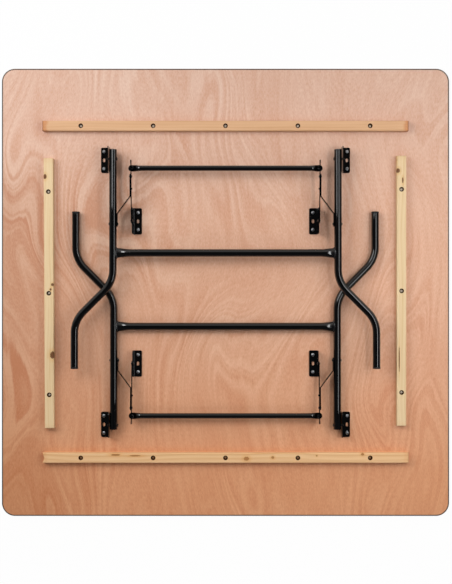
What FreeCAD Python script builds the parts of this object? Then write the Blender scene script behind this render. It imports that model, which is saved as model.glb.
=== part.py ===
"""Square folding banquet table, lying on its show face with both leg sets folded onto the underside.

+Z points away from the show face, +Y is the side of the north leg set, and the origin is the middle
of the show face. All lengths are millimetres and all angles are degrees.
"""
import FreeCAD
import Part
import Sketcher

import math
import os

from FreeCAD import Placement, Rotation, Vector

# Driving dimensions: alias and value. Each is one size that can be set by itself.
SIZES = {
    # table top
    "table_side": 1524.0,
    "table_corner_radius": 44.5,
    "board_thickness": 19.0,
    "band_thickness": 4.0,
    "band_edge_round": 1.5,
    "tongue_thickness": 3.0,
    "tongue_depth": 9.0,
    "slot_clearance": 0.1,
    # battens
    "long_batten_width": 34.0,
    "short_batten_width": 31.5,
    "batten_height": 20.0,
    "batten_edge_round": 2.0,
    "long_batten_length": 1240.0,
    "short_batten_length": 915.0,
    # a batten's place is a share of the way from the leg hardware to the table's edge
    "north_batten_share": 0.265306,
    "south_batten_share": 0.252000,
    "west_batten_share": 0.322500,
    "east_batten_share": 0.314800,
    "west_batten_shift": -3.0,
    "east_batten_shift": 5.0,
    "west_batten_lean": 0.26,
    "split_end_depth": 6.0,
    "long_screw_pitch": 245.0,
    "short_screw_pitch": 344.0,
    "counterbore_radius": 7.4,
    "counterbore_depth": 7.0,
    # screws
    "screw_radius": 2.2,
    "screw_grip": 12.0,
    "bracket_head_radius": 5.8,
    "bracket_head_height": 3.4,
    "batten_head_radius": 4.2,
    "batten_head_height": 2.6,
    "screw_cross_width": 1.5,
    "screw_cross_depth": 1.8,
    # leg tubes
    "tube_radius": 12.7,
    "tube_wall": 1.2,
    "bend_radius": 100.0,
    "leg_x": 378.5,
    "leg_splay": 129.0,
    "leg_length": 737.0,
    # places along a leg, as shares of its length
    "crossbar_share": 0.472185,
    "first_bend_share": 0.605156,
    "splay_run_share": 0.176391,
    "crossbar_end_width": 32.6,
    "crossbar_end_height": 12.8,
    "crossbar_taper": 46.0,
    "foot_plate": 6.0,
    "foot_stem": 18.0,
    # leg pivots, which lie this share of a leg's length from the table's middle
    "pivot_share": 0.609905,
    "north_pivot_height": 37.0,
    "south_pivot_height": 20.0,
    "north_pivot_inset": 31.0,
    "south_pivot_inset": 14.0,
    "pivot_rivet_radius": 4.0,
    "rivet_head_radius": 6.4,
    "rivet_head_height": 2.6,
    "running_clearance": 0.05,
    "body_gap": 0.3,
    # brackets
    "sheet_thickness": 2.6,
    "sheet_bend_radius": 3.0,
    "sheet_corner_round": 5.0,
    "flange_corner_round": 10.0,
    "flange_over_pivot": 12.0,
    "hinge_plate_width": 30.0,
    "hinge_plate_length": 86.0,
    "hinge_screw_place": 20.0,
    "hinge_screw_pitch": 58.0,
    "hinge_flange_gap": 2.5,
    "brace_plate_width": 30.5,
    "brace_plate_length": 89.0,
    "brace_screw_place": 17.5,
    "brace_screw_pitch": 58.0,
    "spare_hole_radius": 4.2,
    "spare_hole_length": 13.6,
    # folding braces
    "brace_pivot_run": 207.5,
    "brace_pivot_drop": 8.0,
    "leg_rivet_run": 219.6,
    "upper_arm_length": 148.2,
    "upper_arm_x": 317.0,
    "upper_arm_width": 18.6,
    "arm_thickness": 3.0,
    "lower_arm_width": 18.0,
    "joggle_start": 34.0,
    "joggle_run": 58.0,
    "arm_rivet_radius": 3.2,
    "arm_rivet_head_radius": 5.4,
    "arm_rivet_head_height": 2.4,
    "stud_place": 107.0,
    "stud_radius": 3.0,
    "stud_height": 2.2,
    "tail_length": 55.0,
    "tail_finger_length": 9.0,
    "tail_finger_reach": 2.5,
    "tail_finger_drop": 4.5,
    # brace bar
    "bar_radius": 9.0,
    "bar_place": 27.5,
    "bar_half_length": 327.5,
    "bar_flat_width": 21.5,
    "bar_flat_thickness": 4.0,
    "bar_flat_length": 16.0,
    "bar_taper": 30.0,
    # how far a cutter runs past what it cuts
    "overrun": 5.0,
}
QUARTER_TURN = 90.0
HALF_TURN = 180.0

X_AXIS = Vector(1, 0, 0)
Y_AXIS = Vector(0, 1, 0)
Z_AXIS = Vector(0, 0, 1)
ORIGIN = Vector(0, 0, 0)

document = FreeCAD.newDocument("folding_table")
sheet = document.addObject("Spreadsheet::Sheet", "Sizes")
for row, (alias, number) in enumerate(SIZES.items(), start=1):
    sheet.set(f"A{row}", alias)
    sheet.set(f"B{row}", str(number))
    sheet.setAlias(f"B{row}", alias)
document.recompute()

finished = []


class Length:
    """A length worked out from the sheet's cells: its present value and the expression that gives it."""

    def __init__(self, value, text):
        self.value = value
        self.text = text

    def __add__(self, other):
        return Length(self.value + other.value, f"({self.text} + {other.text})")

    def __sub__(self, other):
        return Length(self.value - other.value, f"({self.text} - {other.text})")

    def __mul__(self, factor):
        return Length(self.value * factor, f"({self.text} * {factor})")

    def __truediv__(self, factor):
        return Length(self.value / factor, f"({self.text} / {factor})")

    def __neg__(self):
        return self * -1


ZERO = Length(0.0, "0")


def size(alias):
    """The value of one driving dimension, read from the sheet."""
    return float(sheet.get(alias))


def cell(alias):
    """One driving dimension as a length that stays tied to the sheet."""
    return Length(size(alias), f"Sizes.{alias}")


def along_leg(place):
    """A place that is a share of the leg's length."""
    return size(f"{place}_share") * size("leg_length")


def finish(thing, label):
    """Give an object the name of its node and keep it for the export."""
    thing.Label = label
    finished.append(thing)
    return thing


def feature(label, shape, placement=Placement()):
    """A node whose solid is worked out here from the sheet's sizes."""
    thing = document.addObject("Part::Feature", label)
    thing.Shape = shape
    thing.Placement = placement
    return finish(thing, label)


def origin_plane(body, role):
    """One of a body's own origin planes."""
    return next(part for part in body.Origin.OriginFeatures if part.Role == role)


def new_sketch(body, role, name, lift=ZERO):
    """A sketch on one of the body's origin planes, lifted off it by a length."""
    sketch = body.newObject("Sketcher::SketchObject", name)
    sketch.AttachmentSupport = (origin_plane(body, role), "")
    sketch.MapMode = "FlatFace"
    sketch.AttachmentOffset = Placement(Vector(0, 0, lift.value), Rotation())
    sketch.setExpression("AttachmentOffset.Base.z", lift.text)
    return sketch


def bind_point(sketch, curve, end, pair):
    """Tie a point of a sketch to two lengths, its distances from the sketch's origin."""
    for kind, axis, length in (("DistanceX", -2, pair[0]), ("DistanceY", -1, pair[1])):
        if length is ZERO:
            sketch.addConstraint(Sketcher.Constraint("PointOnObject", curve, end, axis))
            continue
        index = sketch.addConstraint(Sketcher.Constraint(kind, curve, end, length.value))
        sketch.setExpression(f"Constraints[{index}]", length.text)


def polygon(body, role, name, pairs):
    """A closed outline whose every corner is tied to the sheet, as pairs of lengths."""
    sketch = new_sketch(body, role, name)
    corners = [Vector(x.value, y.value, 0) for x, y in pairs]
    count = len(corners)
    for index in range(count):
        sketch.addGeometry(Part.LineSegment(corners[index], corners[(index + 1) % count]))
    for index in range(count):
        sketch.addConstraint(Sketcher.Constraint("Coincident", index, 2, (index + 1) % count, 1))
    for index, pair in enumerate(pairs):
        bind_point(sketch, index, 1, pair)
    return sketch


def pad(body, sketch, length, midplane=False):
    """Push a sketch out by a length."""
    step = body.newObject("PartDesign::Pad", "Pad")
    step.Profile = sketch
    step.Midplane = midplane
    step.setExpression("Length", length.text)
    document.recompute()
    return step


def drill(body, role, name, lift, radius, places, depth=None, both=False):
    """Round holes of one radius, through all or to a depth, with their centres tied to the sheet."""
    sketch = new_sketch(body, role, name, lift)
    for index, (x, y) in enumerate(places):
        centre = Vector(x.value, y.value, 0)
        sketch.addGeometry(Part.Circle(centre, Z_AXIS, radius.value))
        bind_point(sketch, index, 3, (x, y))
        hole = sketch.addConstraint(Sketcher.Constraint("Radius", index, radius.value))
        sketch.setExpression(f"Constraints[{hole}]", radius.text)
    return pocket(body, sketch, depth, both)


def pocket(body, sketch, depth=None, both=False):
    """Cut a sketch into the body, and make sure that it took something away."""
    before = body.Shape.Volume
    step = body.newObject("PartDesign::Pocket", "Pocket")
    step.Profile = sketch
    if depth is None:
        step.Type = "ThroughAll"
        step.Midplane = both
    else:
        step.setExpression("Length", depth.text)
    document.recompute()
    if not body.Shape.Volume < before:
        raise RuntimeError(f"{sketch.Name} cut nothing")
    return step


def edge_names(shape, wanted):
    """The names of the edges that a test picks out."""
    return [f"Edge{index}" for index, edge in enumerate(shape.Edges, start=1) if wanted(edge)]


def parallel(edge, axis):
    """Whether an edge is a straight line along an axis."""
    if edge.Curve.TypeId != "Part::GeomLine":
        return False
    return abs(abs(edge.Curve.Direction.dot(axis)) - 1) < Part.Precision.confusion()


def near(first, second):
    """Whether two places are the same within the modelling tolerance."""
    return abs(first - second) < document_tolerance


def round_edges(body, radius, wanted):
    """Round the edges of the body's tip that a test picks out."""
    base = body.Tip
    step = body.newObject("PartDesign::Fillet", "Fillet")
    step.Base = (base, edge_names(base.Shape, wanted))
    step.setExpression("Radius", radius.text)
    document.recompute()
    return step


def new_body(name):
    """An empty body."""
    return document.addObject("PartDesign::Body", name)


document_tolerance = 1e-6 * size("table_side")


# Table top

def rounded_plate(name, side, radius, thickness, edge_round=None):
    """A square plate with round corners, centred on the origin, its bottom at zero."""
    body = new_body(name)
    half = side / 2
    outline = [(-half, -half), (half, -half), (half, half), (-half, half)]
    pad(body, polygon(body, "XY_Plane", f"{name}_outline", outline), thickness)
    round_edges(body, radius, lambda edge: parallel(edge, Z_AXIS))
    if edge_round:
        round_edges(body, edge_round, lambda edge: near(edge.BoundBox.ZLength, 0))
    return body


def boolean(kind, name, base, tool):
    """A cut or fuse of two objects."""
    step = document.addObject(kind, name)
    step.Base = base
    step.Tool = tool
    document.recompute()
    return step


def ring(name, outside, inside):
    """A square ring between two rounded plates, each (side, corner radius, thickness, lift, rounding)."""
    plates = []
    for which, (side, radius, thickness, lift, edge_round) in (("outer", outside), ("inner", inside)):
        plate = rounded_plate(f"{name}_{which}", side, radius, thickness, edge_round)
        plate.setExpression("Placement.Base.z", lift.text)
        plates.append(plate)
    return boolean("Part::Cut", name, *plates)


BAND = cell("band_thickness")
SIDE = cell("table_side")
CORNER = cell("table_corner_radius")
BOARD = cell("board_thickness")
PANEL_SIDE = SIDE - BAND * 2
PANEL_CORNER = CORNER - BAND


def groove(name, depth, height):
    """The ring just inside the panel's edge that the band's tongue fills, or the slot that holds it."""
    lift = (BOARD - height) / 2
    return ring(
        name,
        (PANEL_SIDE, PANEL_CORNER, height, lift, None),
        (PANEL_SIDE - depth * 2, PANEL_CORNER - depth, height, lift, None),
    )


def cap_middle(rim, height):
    """Halfway up a spherical cap's arc: its distance from the axis, and its height over the rim."""
    ball = (rim ** 2 + height ** 2) / (2 * height)
    half_angle = math.asin(rim / ball) / 2
    return ball * math.sin(half_angle), height - ball * (1 - math.cos(half_angle))


def screw_shape(kind, grip):
    """A pan-head screw, point down, with the underside of its head at the origin."""
    shank, head = size("screw_radius"), size(f"{kind}_head_radius")
    rise = size(f"{kind}_head_height")
    point_share, shoulder_share = 0.25, 0.35
    edge = [
        Vector(0, 0, -grip),
        Vector(shank, 0, -grip * (1 - point_share)),
        Vector(shank, 0, 0),
        Vector(head, 0, 0),
        Vector(head, 0, rise * shoulder_share),
    ]
    crown = Vector(0, 0, rise)
    aside, above = cap_middle(head, rise - edge[-1].z)
    shoulder = Vector(aside, 0, edge[-1].z + above)
    lines = [Part.LineSegment(a, b).toShape() for a, b in zip(edge, edge[1:])]
    dome = Part.Arc(edge[-1], shoulder, crown).toShape()
    axis = Part.LineSegment(crown, edge[0]).toShape()
    screw = Part.Face(Part.Wire(lines + [dome, axis])).revolve(ORIGIN, Z_AXIS, 2 * HALF_TURN)
    arm, deep = size("screw_cross_width"), size("screw_cross_depth")
    for turn in (0, QUARTER_TURN):
        slot = Part.makeBox(head, arm, deep + rise, Vector(-head / 2, -arm / 2, rise - deep))
        slot.rotate(ORIGIN, Z_AXIS, turn)
        screw = screw.cut(slot)
    return screw


def bracket_screw():
    """The screw that holds a bracket's plate to the panel."""
    return screw_shape("bracket", size("sheet_thickness") + size("screw_grip"))


def placed(shape, places):
    """Copies of one shape at several places, as one group of separate solids."""
    copies = []
    for place in places:
        copy = shape.copy()
        copy.Placement = place
        copies.append(copy)
    return Part.makeCompound(copies)


def batten(label, sort, pitches, placement):
    """A softwood batten with sunk screw holes, along its own X axis, and the places of its screws."""
    body = new_body(label)
    half_length, half_width = cell(f"{sort}_batten_length") / 2, cell(f"{sort}_batten_width") / 2
    outline = [
        (-half_length, -half_width), (half_length, -half_width),
        (half_length, half_width), (-half_length, half_width),
    ]
    if label == "south_batten":
        outline.append((cell("split_end_depth") - half_length, ZERO))
    pad(body, polygon(body, "XY_Plane", f"{label}_outline", outline), cell("batten_height"))
    top = cell("batten_height")
    round_edges(body, cell("batten_edge_round"), lambda edge: near(edge.BoundBox.ZMin, top.value))
    pitch = cell(f"{sort}_screw_pitch")
    places = [(pitch * step if step else ZERO, ZERO) for step in pitches]
    drill(body, "XY_Plane", f"{label}_pilot", top, cell("screw_radius"), places)
    drill(
        body, "XY_Plane", f"{label}_counterbore", top, cell("counterbore_radius"), places,
        cell("counterbore_depth"),
    )
    body.Placement = placement
    finish(body, label)
    seat = top.value - size("counterbore_depth")
    return [placement * Placement(Vector(step * pitch.value, 0, seat), Rotation()) for step in pitches]


def batten_place(compass, hardware):
    """How far a batten's middle lies from the table's middle, for leg hardware that reaches that far."""
    return hardware + size(f"{compass}_batten_share") * (size("table_side") / 2 - hardware)


def table_top(bracket_screws):
    """The panel, its edge band and the battens, with pilot holes for every screw."""
    slack = cell("slot_clearance")
    slot = groove("slot", cell("tongue_depth") + slack, cell("tongue_thickness") + slack * 2)
    blank = rounded_plate("panel_blank", PANEL_SIDE, PANEL_CORNER, BOARD)
    slotted = boolean("Part::Cut", "slotted_panel", blank, slot)
    tongue = groove("tongue", cell("tongue_depth"), cell("tongue_thickness"))
    rim = ring(
        "rim",
        (SIDE, CORNER, BOARD, ZERO, cell("band_edge_round")),
        (PANEL_SIDE, PANEL_CORNER, BOARD, ZERO, None),
    )
    finish(boolean("Part::Fuse", "band", rim, tongue), "edge_band")

    underside = size("board_thickness")
    quarter = Rotation(Z_AXIS, QUARTER_TURN)
    leaning = Rotation(Z_AXIS, QUARTER_TURN + size("west_batten_lean"))
    steps = {"long": (-2, -1, 0, 1, 2), "short": (-1, 0, 1)}
    brackets = along_leg("pivot") + size("hinge_plate_length") / 2
    feet = size("leg_x") + size("leg_splay") + size("tube_radius")
    west, east = -batten_place("west", feet), batten_place("east", feet)
    battens = (
        ("north_batten", "long", Vector(0, batten_place("north", brackets), underside), Rotation()),
        ("south_batten", "long", Vector(0, -batten_place("south", brackets), underside), Rotation()),
        ("west_batten", "short", Vector(west, size("west_batten_shift"), underside), leaning),
        ("east_batten", "short", Vector(east, size("east_batten_shift"), underside), quarter),
    )
    seats = []
    for label, sort, place, turn in battens:
        seats += batten(label, sort, steps[sort], Placement(place, turn))
    batten_grip = size("batten_height") - size("counterbore_depth") + size("screw_grip")
    batten_screw = screw_shape("batten", batten_grip)
    feature("batten_screws", placed(batten_screw, seats))

    pilots = document.addObject("Part::Feature", "pilot_holes")
    pilots.Shape = Part.makeCompound(
        [placed(batten_screw, seats), placed(bracket_screw(), bracket_screws)]
    )
    finish(boolean("Part::Cut", "drilled_panel", slotted, pilots), "plywood_panel")


# Brackets

def bracket(label, kind, flange_height, pivot_height, pivot_radius, placement):
    """An L bracket whose flange stands on its own YZ plane, with its plate towards +X.

    Returns the places of its screws' heads.
    """
    body = new_body(label)
    gauge, width = cell("sheet_thickness"), cell(f"{kind}_plate_width")
    profile = [
        (ZERO, ZERO), (width, ZERO), (width, gauge), (gauge, gauge), (gauge, flange_height),
        (ZERO, flange_height),
    ]
    pad(body, polygon(body, "XZ_Plane", f"{label}_profile", profile), cell(f"{kind}_plate_length"), True)

    def inner_bend(edge):
        box = edge.BoundBox
        return parallel(edge, Y_AXIS) and near(box.XMin, gauge.value) and near(box.ZMin, gauge.value)

    def outer_bend(edge):
        box = edge.BoundBox
        return parallel(edge, Y_AXIS) and near(box.XMin, 0) and near(box.ZMin, 0)

    round_edges(body, cell("sheet_bend_radius"), inner_bend)
    round_edges(body, cell("sheet_bend_radius") + gauge, outer_bend)
    round_edges(
        body, cell("flange_corner_round"),
        lambda edge: parallel(edge, X_AXIS) and near(edge.BoundBox.ZMin, flange_height.value),
    )
    round_edges(
        body, cell("sheet_corner_round"),
        lambda edge: parallel(edge, Z_AXIS) and near(edge.BoundBox.XMin, width.value),
    )
    place, half_pitch = cell(f"{kind}_screw_place"), cell(f"{kind}_screw_pitch") / 2
    holes = [(place, half_pitch), (place, -half_pitch)]
    drill(body, "XY_Plane", f"{label}_screw_holes", gauge, cell("screw_radius"), holes)
    spare_hole(body, label, place.value, gauge)
    drill(
        body, "YZ_Plane", f"{label}_pivot_hole", ZERO, cell(pivot_radius), [(ZERO, pivot_height)],
        None, True,
    )
    body.Placement = placement
    finish(body, label)
    return [
        placement * Placement(Vector(x.value, y.value, gauge.value), Rotation())
        for x, y in holes
    ]


def spare_hole(body, label, place, gauge):
    """The empty oval hole between a bracket's two screws."""
    sketch = new_sketch(body, "XY_Plane", f"{label}_spare_hole", gauge)
    radius = size("spare_hole_radius")
    reach = size("spare_hole_length") / 2 - radius
    for sign in (1, -1):
        ends = [Vector(place + side * radius, sign * reach, 0) for side in (sign, -sign)]
        top = Vector(place, sign * (reach + radius), 0)
        sketch.addGeometry(Part.Arc(ends[0], top, ends[1]))
        sketch.addGeometry(Part.LineSegment(ends[1], Vector(ends[1].x, -ends[1].y, 0)))
    pocket(body, sketch)


# Leg sets. Each is worked out with its pivot line on the local X axis and its legs along +Y.

def bent_path(points, radius):
    """A wire of straight runs joined by tangent arcs."""
    edges, start = [], points[0]
    for before, corner, after in zip(points, points[1:], points[2:]):
        into, out = (corner - before).normalize(), (after - corner).normalize()
        reach = radius * math.tan(into.getAngle(out) / 2)
        first, last = corner - into * reach, corner + out * reach
        inward = (out - into).normalize()
        middle = corner + inward * (math.hypot(radius, reach) - radius)
        edges.append(Part.LineSegment(start, first).toShape())
        edges.append(Part.Arc(first, middle, last).toShape())
        start = last
    edges.append(Part.LineSegment(start, points[-1]).toShape())
    return Part.Wire(edges)


def disc(centre, normal, radius):
    """A round wire."""
    return Part.Wire(Part.makeCircle(radius, centre, normal))


def sweep(path, radius):
    """A round bar of one radius along a path that starts along +Y."""
    start = path.Edges[0].valueAt(path.Edges[0].FirstParameter)
    return path.makePipeShell([disc(start, Y_AXIS, radius)], True, False)


def across(x_from, x_to, y, z, radius):
    """A round bar along X between two places."""
    return Part.makeCylinder(radius, x_to - x_from, Vector(x_from, y, z), X_AXIS)


def rivet(x_from, x_to, y, radius, head_radius, head_height, heads=(True, True)):
    """A rivet along X, with a domed head outside one or both of its ends."""
    body = across(x_from, x_to, y, 0, radius)
    aside, above = cap_middle(head_radius, head_height)
    for place, way, wanted in ((x_from, -1, heads[0]), (x_to, 1, heads[1])):
        if wanted:
            rim, crown = Vector(place, head_radius, 0), Vector(place + way * head_height, 0, 0)
            bulge = Vector(place + way * above, aside, 0)
            profile = Part.Wire([
                Part.LineSegment(Vector(place, 0, 0), rim).toShape(),
                Part.Arc(rim, bulge, crown).toShape(),
                Part.LineSegment(crown, Vector(place, 0, 0)).toShape(),
            ])
            dome = Part.Face(profile).revolve(ORIGIN, X_AXIS, 2 * HALF_TURN)
            dome.translate(Vector(0, y, 0))
            body = body.fuse(dome)
    return body.removeSplitter()


def mirrored(shape):
    """The same piece for the other side of the leg set."""
    return shape.mirror(ORIGIN, X_AXIS)


def leg_path(inset):
    """The middle line of a leg tube at +X, for a pivot hole that far from its top end."""
    inner, outer = size("leg_x"), size("leg_x") + size("leg_splay")
    first = along_leg("first_bend") - inset
    second = first + along_leg("splay_run")
    foot = size("leg_length") - inset - size("foot_plate")
    points = [
        Vector(inner, -inset, 0), Vector(inner, first, 0), Vector(outer, second, 0), Vector(outer, foot, 0),
    ]
    return bent_path(points, size("bend_radius"))


def leg_tube(inset):
    """A bent leg tube at +X with its pivot hole and brace hole."""
    radius, reach = size("tube_radius"), size("tube_radius") + size("overrun")
    path = leg_path(inset)
    tube = sweep(path, radius).cut(sweep(path, radius - size("tube_wall")))
    holes = (
        (0.0, size("pivot_rivet_radius") + size("running_clearance")),
        (size("leg_rivet_run"), size("arm_rivet_radius")),
    )
    for run, hole in holes:
        tube = tube.cut(across(size("leg_x") - reach, size("leg_x") + reach, run, 0, hole))
    return tube


def foot_plug(inset):
    """The plastic plug that closes the foot of the leg at +X."""
    outer = size("leg_x") + size("leg_splay")
    foot = size("leg_length") - inset
    sole = Part.makeCylinder(
        size("tube_radius"), size("foot_plate"), Vector(outer, foot - size("foot_plate"), 0), Y_AXIS
    )
    stem_start = foot - size("foot_plate") - size("foot_stem")
    stem = Part.makeCylinder(
        size("tube_radius") - size("tube_wall"), size("foot_stem"), Vector(outer, stem_start, 0), Y_AXIS
    )
    return sole.fuse(stem).removeSplitter()


def oval(place, width, height):
    """An oval wire across X, width along Y and height along Z."""
    curve = Part.Ellipse(place + Vector(0, width / 2, 0), place + Vector(0, 0, height / 2), place)
    return Part.Wire(curve.toShape())


def squeeze(start, stop, radius, width, height):
    """Sections that lead in an easy curve from a round bar at start to the oval at stop."""
    squeeze_shares = (0.25, 0.5, 0.75, 1.0)
    sections = [disc(start, X_AXIS, radius)]
    for share in squeeze_shares:
        spread, sink = share ** 2 * (3 - 2 * share), share ** 3
        place = start + (stop - start) * share
        place.z = start.z + (stop.z - start.z) * sink
        wide = 2 * radius + (width - 2 * radius) * spread
        high = 2 * radius + (height - 2 * radius) * sink
        sections.append(oval(place, wide, high))
    return sections


def crossbar_core(run, shrink):
    """The crossbar's outer form, or with a shrink its bore: round, with oval ends inside the legs."""
    radius = size("tube_radius") - shrink
    reach = size("leg_x")
    taper_from = reach - size("tube_radius") - size("crossbar_taper")
    core = across(-taper_from, taper_from, run, 0, radius)
    width, height = size("crossbar_end_width") - 2 * shrink, size("crossbar_end_height") - 2 * shrink
    for sign in (1, -1):
        start = Vector(sign * taper_from, run, 0)
        stop = Vector(sign * (reach - size("tube_radius")), run, 0)
        tip = Vector(sign * reach, run, 0)
        core = core.fuse(Part.makeLoft(squeeze(start, stop, radius, width, height), True))
        core = core.fuse(Part.makeLoft([oval(stop, width, height), oval(tip, width, height)], True))
    return core


def crossbar(inset):
    """The tube between the two legs, its ends squeezed and cut to fit round the leg tubes."""
    run = along_leg("crossbar") - inset
    bar = crossbar_core(run, 0.0).cut(crossbar_core(run, size("tube_wall")))
    leg = sweep(leg_path(inset), size("tube_radius"))
    return bar.cut(leg).cut(mirrored(leg))


# Folding braces

def knee_point(pivot, rivet_place):
    """Where the two arms of a brace meet, above the line from the bracket to the leg."""
    upper, lower = size("upper_arm_length"), lower_arm_length()
    line = rivet_place - pivot
    span = line.Length
    along = (upper ** 2 - lower ** 2 + span ** 2) / (2 * span)
    aside = math.sqrt(upper ** 2 - along ** 2)
    line.normalize()
    return pivot + line * along + Vector(0, -line.z, line.y) * aside


def brace_pivot():
    """The bracket rivet's place, from the leg's pivot."""
    return Vector(0, size("brace_pivot_run"), -size("brace_pivot_drop"))


def lower_arm_length():
    """The length that lets the two arms lie in one line when the leg stands upright."""
    upright = Vector(0, 0, size("leg_rivet_run"))
    return (upright - brace_pivot()).Length - size("upper_arm_length")


def stadium(length, width, x_from, x_to):
    """A flat bar with round ends along -Y from the origin, between two places on X."""
    half = width / 2
    low, high = Vector(x_from, 0, -half), Vector(x_from, 0, half)
    along = Vector(0, -length, 0)
    outline = Part.Wire([
        Part.Arc(low, Vector(x_from, half, 0), high).toShape(),
        Part.LineSegment(high, high + along).toShape(),
        Part.Arc(high + along, Vector(x_from, -length - half, 0), low + along).toShape(),
        Part.LineSegment(low + along, low).toShape(),
    ])
    return Part.Face(outline).extrude(Vector(x_to - x_from, 0, 0))


def upper_arm_faces():
    """The inner and outer faces of the upper arm, along X."""
    half = size("arm_thickness") / 2
    return size("upper_arm_x") - half, size("upper_arm_x") + half


def lower_arm_faces():
    """The lower arm's faces along X: beside the upper arm, then beside the leg tube."""
    gauge = size("arm_thickness")
    knee_face = upper_arm_faces()[1] + size("body_gap")
    leg_face = size("leg_x") - size("tube_radius") - size("body_gap") - gauge
    return (knee_face, knee_face + gauge), (leg_face, leg_face + gauge)


def upper_arm():
    """The arm at +X from the bracket rivet along -Y, past its stud and the knee to its bent tail."""
    inner, outer = upper_arm_faces()
    width, length = size("upper_arm_width"), size("upper_arm_length")
    half = width / 2
    arm = stadium(length, width, inner, outer)
    end = length + size("tail_length")
    arm = arm.fuse(Part.makeBox(outer - inner, size("tail_length"), width, Vector(inner, -end, -half)))
    finger = size("tail_finger_length")
    drop = size("tail_finger_drop")
    toe = Part.makeBox(outer - inner, finger, drop, Vector(inner, -end, -half - drop))
    reach = size("tail_finger_reach")
    tip = Part.makeBox(
        reach, finger, drop - size("body_gap"), Vector(outer, -end, -half - drop),
    )
    stud_from = inner - size("stud_height")
    stud = across(stud_from, inner, -size("stud_place"), 0, size("stud_radius"))
    arm = arm.fuse([toe, tip, stud]).removeSplitter()
    loose = size("arm_rivet_radius") + size("running_clearance")
    margin = size("overrun")
    for run, hole in ((0.0, loose), (-length, size("arm_rivet_radius"))):
        arm = arm.cut(across(inner - margin, outer + margin, run, 0, hole))
    return arm


def lower_arm():
    """The arm at +X from the leg rivet along -Y, stepped in from the leg to lie beside the upper arm."""
    (knee_in, knee_out), (leg_in, leg_out) = lower_arm_faces()
    length, width = lower_arm_length(), size("lower_arm_width")
    margin = size("overrun") + width
    start, run = size("joggle_start"), size("joggle_run")
    slant = math.hypot(run, leg_in - knee_in)
    shift = size("arm_thickness") * (slant - run) / (leg_in - knee_in)
    outline = [
        Vector(leg_in, margin, 0), Vector(leg_out, margin, 0),
        Vector(leg_out, -start - shift, 0), Vector(knee_out, -start - run - shift, 0),
        Vector(knee_out, -length - margin, 0), Vector(knee_in, -length - margin, 0),
        Vector(knee_in, -start - run, 0), Vector(leg_in, -start, 0),
    ]
    strip = Part.Face(Part.makePolygon(outline + outline[:1])).extrude(Vector(0, 0, width))
    strip.translate(Vector(0, 0, -width / 2))
    arm = strip.common(stadium(length, width, knee_in - margin, leg_out + margin))
    loose = size("arm_rivet_radius") + size("running_clearance")
    arm = arm.cut(across(leg_in - margin, leg_out + margin, 0, 0, loose))
    return arm.cut(across(knee_in - margin, knee_out + margin, -length, 0, size("arm_rivet_radius")))


def brace_bar():
    """The round bar that joins the upper arms, with flat ends welded under their tails."""
    run = -size("upper_arm_length") - size("bar_place")
    radius, thick, wide = size("bar_radius"), size("bar_flat_thickness"), size("bar_flat_width")
    flat_top = -size("upper_arm_width") / 2
    bottom = flat_top - thick
    axis = bottom + radius
    end = size("bar_half_length")
    flat_from = end - size("bar_flat_length")
    round_to = flat_from - size("bar_taper")
    bar = across(-round_to, round_to, run, axis, radius)
    for sign in (1, -1):
        start = Vector(sign * round_to, run, axis)
        stop = Vector(sign * flat_from, run, bottom + thick / 2)
        bar = bar.fuse(Part.makeLoft(squeeze(start, stop, radius, wide, thick), True))
        tip = end - wide / 2
        low = min(sign * flat_from, sign * tip)
        paddle = Part.makeBox(tip - flat_from, wide, thick, Vector(low, run - wide / 2, bottom))
        cap = Part.makeCylinder(wide / 2, thick, Vector(sign * tip, run, bottom))
        bar = bar.fuse([paddle, cap])
    return bar.removeSplitter()


def crossing_height():
    """How far the middles of the two leg sets' tubes lie apart where they cross."""
    return 2 * size("tube_radius") + size("body_gap")


def rest_tilts():
    """The angle from level of each folded leg set: south on the board, north on the south set's tubes."""
    gap = size("body_gap")
    drop = size("south_pivot_height") - size("tube_radius") - gap
    south = -math.degrees(math.asin(drop / (size("leg_length") - size("south_pivot_inset"))))
    north_side = along_leg("first_bend") - size("north_pivot_inset")
    south_side = along_leg("first_bend") - size("south_pivot_inset")
    both = 2 * along_leg("pivot")
    # the two slanting runs mirror each other, so they cross halfway between their bends
    overlap = (both - north_side - south_side) / 2
    north_run, south_run = north_side + overlap, south_side + overlap
    height = size("south_pivot_height") + south_run * math.sin(math.radians(south)) + crossing_height()
    north = math.degrees(math.asin((height - size("north_pivot_height")) / north_run))
    return {"south": south, "north": north}


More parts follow.
